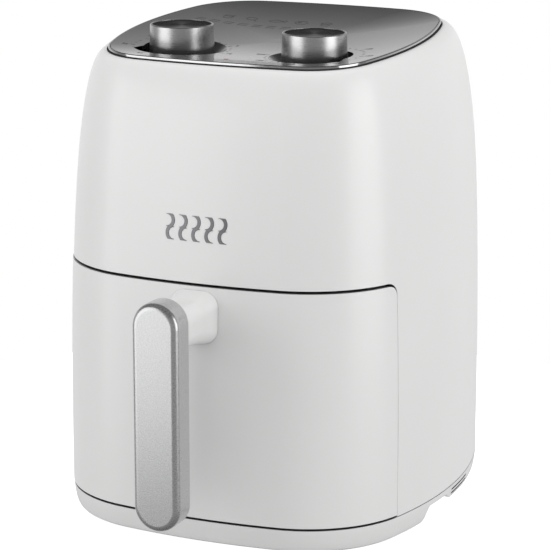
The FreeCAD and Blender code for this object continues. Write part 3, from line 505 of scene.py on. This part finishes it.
class Print:
    """Thin closed strips and figures of ink that follow the panel's dish."""

    def __init__(self):
        self.vertices = []
        self.faces = []

    def strip(self, points, width):
        """A line of a width in millimetres through points in metres.

        Each point has four corners: bottom and top on one side, then bottom and top on the other.
        """
        points = [Vector(p) for p in points]
        start = len(self.vertices)
        for i, point in enumerate(points):
            along = (points[min(i + 1, len(points) - 1)] - points[max(i - 1, 0)]).normalized()
            across = Vector((-along.y, along.x)) * width * MM / 2
            for side in (-1, 1):
                x, y = point + across * side
                z = plate_height(x, y)
                self.vertices += [(x, y, z - INK_SUNK), (x, y, z + INK_THICK)]
        last = len(points) - 1
        for i in range(last):
            a, b = start + 4 * i, start + 4 * i + 4
            self.faces += [(a + 1, a + 3, b + 3, b + 1), (a, b, b + 2, a + 2)]
            self.faces += [(a, a + 1, b + 1, b), (a + 2, b + 2, b + 3, a + 3)]
        end = start + 4 * last
        self.faces += [(start, start + 2, start + 3, start + 1), (end, end + 1, end + 3, end + 2)]

    def figure(self, text, x, y, size):
        """A number centred at a place, size in millimetres."""
        curve = bpy.data.curves.new("figure", "FONT")
        curve.body = text
        curve.size = size * MM
        curve.align_x = "CENTER"
        curve.align_y = "CENTER"
        curve.extrude = INK_THICK
        carrier = bpy.data.objects.new("figure", curve)
        mesh = bpy.data.meshes.new_from_object(carrier)
        start = len(self.vertices)
        for vertex in mesh.vertices:
            place_x, place_y = x + vertex.co.x, y + vertex.co.y
            self.vertices.append((place_x, place_y, plate_height(place_x, place_y) + vertex.co.z))
        self.faces += [tuple(start + i for i in polygon.vertices) for polygon in mesh.polygons]
        bpy.data.objects.remove(carrier)
        bpy.data.meshes.remove(mesh)

    def finish(self, name):
        mesh = bpy.data.meshes.new(name)
        mesh.from_pydata(self.vertices, [], self.faces)
        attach(new_object(name, mesh, ink), "housing")


def on_circle(axis, radius, degrees):
    """Point at a turn clockwise from the rear, seen from above."""
    turn = math.radians(degrees)
    return Vector((axis.x + radius * MM * math.sin(turn), axis.y + radius * MM * math.cos(turn)))


def dial_scale(name, axis, numbers, turn):
    """Ticks and numbers round a knob, over its turning range in degrees."""
    marks = Print()
    intervals = len(numbers) - 1
    ticks = TICKS_PER_NUMBER * intervals
    for i in range(ticks + 1):
        degrees = turn * i / ticks
        reach = SHORT_TICK if i % TICKS_PER_NUMBER else LONG_TICK
        inner = on_circle(axis, TICK_RADIUS, degrees)
        marks.strip([inner, on_circle(axis, TICK_RADIUS + reach, degrees)], TICK_WIDTH)
    for i, number in enumerate(numbers):
        x, y = on_circle(axis, NUMBER_RADIUS, turn * i / intervals)
        marks.figure(str(number), x, y, NUMBER_SIZE)
    marks.finish(name)


def loop(centre, width, height, start=0, end=360, steps=20):
    """Points of an oval or part of one, in metres."""
    turns = [math.radians(start + (end - start) * i / steps) for i in range(steps + 1)]
    return [centre + Vector((width / 2 * math.cos(t), height / 2 * math.sin(t))) * MM for t in turns]


def lines(centre, *runs):
    """Runs of points in millimetres from a centre, in metres."""
    return [[centre + Vector(point) * MM for point in run] for run in runs]


def fish(at):
    tail = [(4, 0), (7, 2.4), (7, -2.4), (4, 0)]
    return [loop(at + Vector((-1, 0)) * MM, 10, 5)] + lines(at, tail)


def fries(at):
    tub = [(-3.5, 1), (-2.5, -4), (2.5, -4), (3.5, 1), (-3.5, 1)]
    sticks = [[(x, 1.2), (x * 1.4, 4 + 0.6 * (i % 2))] for i, x in enumerate((-2.4, -0.8, 0.8, 2.4))]
    return lines(at, tub, *sticks)


def drumstick(at):
    bone = [(2.2, -2.2), (4.6, -4.6)]
    return [loop(at + Vector((-1, 1)) * MM, 8, 6.4)] + lines(at, bone)


def cake(at):
    cup = [(-3.4, 0), (-2.4, -4), (2.4, -4), (3.4, 0), (-3.4, 0)]
    return [loop(at + Vector((0, 0.4)) * MM, 8.4, 7, 0, 180, 12)] + lines(at, cup)


def steak(at):
    return [loop(at, 9.6, 7), loop(at + Vector((-1.6, 0.8)) * MM, 2.4, 2, steps=10)]


def food_pictograms():
    """A row of five foods behind the knobs."""
    marks = Print()
    for i, food in enumerate((fries, drumstick, fish, steak, cake)):
        across = PICTURE_START + PICTURE_PITCH * i
        at = Vector((TIMER_AXIS.x + across * MM, TIMER_AXIS.y + PICTURE_ROW * MM))
        for run in food(at):
            marks.strip(run, PICTURE_LINE)
    marks.finish("food_pictograms")


def guide_dashes():
    """Two dashed lines between the pictograms and the knobs."""
    marks = Print()
    for row in DASH_ROWS:
        for i in range(DASHES):
            start = DASH_START + DASH_PITCH * i
            along = (start, start + DASH_LENGTH / 2, start + DASH_LENGTH)
            y = TIMER_AXIS.y + row * MM
            marks.strip([(TIMER_AXIS.x + x * MM, y) for x in along], DASH_LINE)
    marks.finish("guide_dashes")


dial_scale("timer_scale", TIMER_AXIS, TIMER_NUMBERS, TIMER_TURN)
dial_scale("temperature_scale", HEAT_AXIS, HEAT_NUMBERS, HEAT_TURN)
food_pictograms()
guide_dashes()


# ------------------------------------------------------------------ camera, floor and light

CAMERA_AZIMUTH = math.radians(24.3)
CAMERA_ELEVATION = math.radians(13.79)
CAMERA_DISTANCE = 1.7914
CAMERA_TARGET = Vector((BODY_MIDDLE.x - 1.86 * MM, BODY_MIDDLE.y - 0.84 * MM, 156.75 * MM))
LENS = 166.25

LIGHT_TARGET = Vector((BODY_MIDDLE.x, BODY_MIDDLE.y, 0.2))
FLOOR_RADIUS = 0.42
FLOOR_SIDES = 96

# Strength of the light from all round, and greys that shine in gloss: by height as the sine of the
# elevation, and by nearness to a direction behind the object, a little to the right.
AMBIENT = 0.72
SHINE_BELOW = ((-1, 0.4), (-0.5, 0.7), (-0.03, 0.95))
SHINE_ABOVE = ((0, 1), (0.1, 0.8), (0.34, 0.32), (0.5, 0.15), (1, 0.15))
SHINE_BY_SIDE = ((-1, 0.3), (0.2, 0.3), (0.85, 1), (1, 1))
SHINE_TURN = math.radians(8)


def towards(azimuth, elevation):
    """Direction seen from the object: azimuth 0 is the front, positive to the right."""
    flat = math.cos(elevation)
    return Vector((math.sin(azimuth) * flat, -math.cos(azimuth) * flat, math.sin(elevation)))


def aim(piece, target):
    piece.rotation_euler = (target - piece.location).to_track_quat("-Z", "Y").to_euler()


def make_camera():
    camera = bpy.data.objects.new("camera", bpy.data.cameras.new("camera"))
    scene.collection.objects.link(camera)
    camera.location = CAMERA_TARGET + CAMERA_DISTANCE * towards(CAMERA_AZIMUTH, CAMERA_ELEVATION)
    aim(camera, CAMERA_TARGET)
    camera.data.lens = LENS
    scene.camera = camera


def softbox(name, azimuth, elevation, distance, size, power, gloss_only=False):
    """Rectangular lamp that lights either matt or glossy surfaces; azimuth in degrees from the camera's."""
    data = bpy.data.lights.new(name, "AREA")
    data.shape = "RECTANGLE"
    data.size, data.size_y = size
    data.energy = power
    lamp = bpy.data.objects.new(name, data)
    scene.collection.objects.link(lamp)
    direction = towards(CAMERA_AZIMUTH + math.radians(azimuth), math.radians(elevation))
    lamp.location = LIGHT_TARGET + distance * direction
    aim(lamp, LIGHT_TARGET)
    lamp.visible_diffuse = not gloss_only
    lamp.visible_glossy = gloss_only


def make_floor():
    """Round floor that neither shines nor lights the object from below."""
    turns = [2 * math.pi * i / FLOOR_SIDES for i in range(FLOOR_SIDES)]
    ring = [(FLOOR_RADIUS * math.cos(t), FLOOR_RADIUS * math.sin(t), 0) for t in turns]
    mesh = bpy.data.meshes.new("floor")
    mesh.from_pydata(ring, [], [tuple(range(FLOOR_SIDES))])
    floor = new_object("floor", mesh, floor_paint().material)
    floor.visible_glossy = False
    floor.visible_diffuse = False


class Studio:
    """The world: a white backdrop, an even ambient light, and greys of its own for gloss."""

    def __init__(self):
        scene.world = bpy.data.worlds.new("studio")
        scene.world.use_nodes = True
        self.tree = scene.world.node_tree
        self.link = self.tree.links.new
        self.direction = self.new("ShaderNodeTexCoord").outputs["Generated"]

    def new(self, kind):
        return self.tree.nodes.new(kind)

    def greys(self, source, stops):
        """Grey values against a number that runs from -1 to 1."""
        share = self.new("ShaderNodeMapRange")
        share.inputs["From Min"].default_value = -1
        self.link(source, share.inputs["Value"])
        ramp = self.new("ShaderNodeValToRGB")
        self.link(share.outputs["Result"], ramp.inputs["Fac"])
        elements = ramp.color_ramp.elements
        while len(elements) > 1:
            elements.remove(elements[-1])
        for index, (where, value) in enumerate(stops):
            place = (where + 1) / 2
            element = elements.new(place) if index else elements[0]
            element.position = place
            element.color = (value, value, value, 1)
        return ramp.outputs["Color"]

    def shine(self):
        """Greys that change with height and with the side."""
        height = self.new("ShaderNodeSeparateXYZ")
        self.link(self.direction, height.inputs[0])
        side = self.new("ShaderNodeVectorMath")
        side.operation = "DOT_PRODUCT"
        side.inputs[1].default_value = -towards(CAMERA_AZIMUTH - SHINE_TURN, 0)
        self.link(self.direction, side.inputs[0])
        product = self.new("ShaderNodeMix")
        product.data_type = "RGBA"
        product.blend_type = "MULTIPLY"
        product.inputs["Factor"].default_value = 1
        self.link(self.greys(height.outputs["Z"], SHINE_BELOW + SHINE_ABOVE), product.inputs["A"])
        self.link(self.greys(side.outputs["Value"], SHINE_BY_SIDE), product.inputs["B"])
        background = self.new("ShaderNodeBackground")
        self.link(product.outputs["Result"], background.inputs["Color"])
        return background.outputs[0]

    def white(self, strength):
        background = self.new("ShaderNodeBackground")
        background.inputs["Color"].default_value = (1, 1, 1, 1)
        background.inputs["Strength"].default_value = strength
        return background.outputs[0]

    def either(self, ray, without, with_ray):
        """One light for rays of a kind, another for the rest."""
        mix = self.new("ShaderNodeMixShader")
        self.link(self.new("ShaderNodeLightPath").outputs[ray], mix.inputs[0])
        self.link(without, mix.inputs[1])
        self.link(with_ray, mix.inputs[2])
        return mix.outputs[0]

    def finish(self):
        unseen = self.either("Is Glossy Ray", self.white(AMBIENT), self.shine())
        surface = self.either("Is Camera Ray", unseen, self.white(1))
        self.link(surface, self.tree.nodes["World Output"].inputs["Surface"])


make_camera()
make_floor()
Studio().finish()
softbox("left_key", -75, 14, 1.6, (0.8, 1.0), power=4.4)
softbox("right_fill", 60, 16, 1.6, (0.8, 0.8), power=5.0)
softbox("overhead", 10, 84, 1.8, (1.8, 1.8), power=10)
softbox("left_shine", -64, 3, 1.6, (1.3, 1.4), power=7.6, gloss_only=True)
softbox("right_shine", 58, 8, 1.6, (1.1, 1.4), power=8, gloss_only=True)
scene.view_settings.view_transform = "Standard"
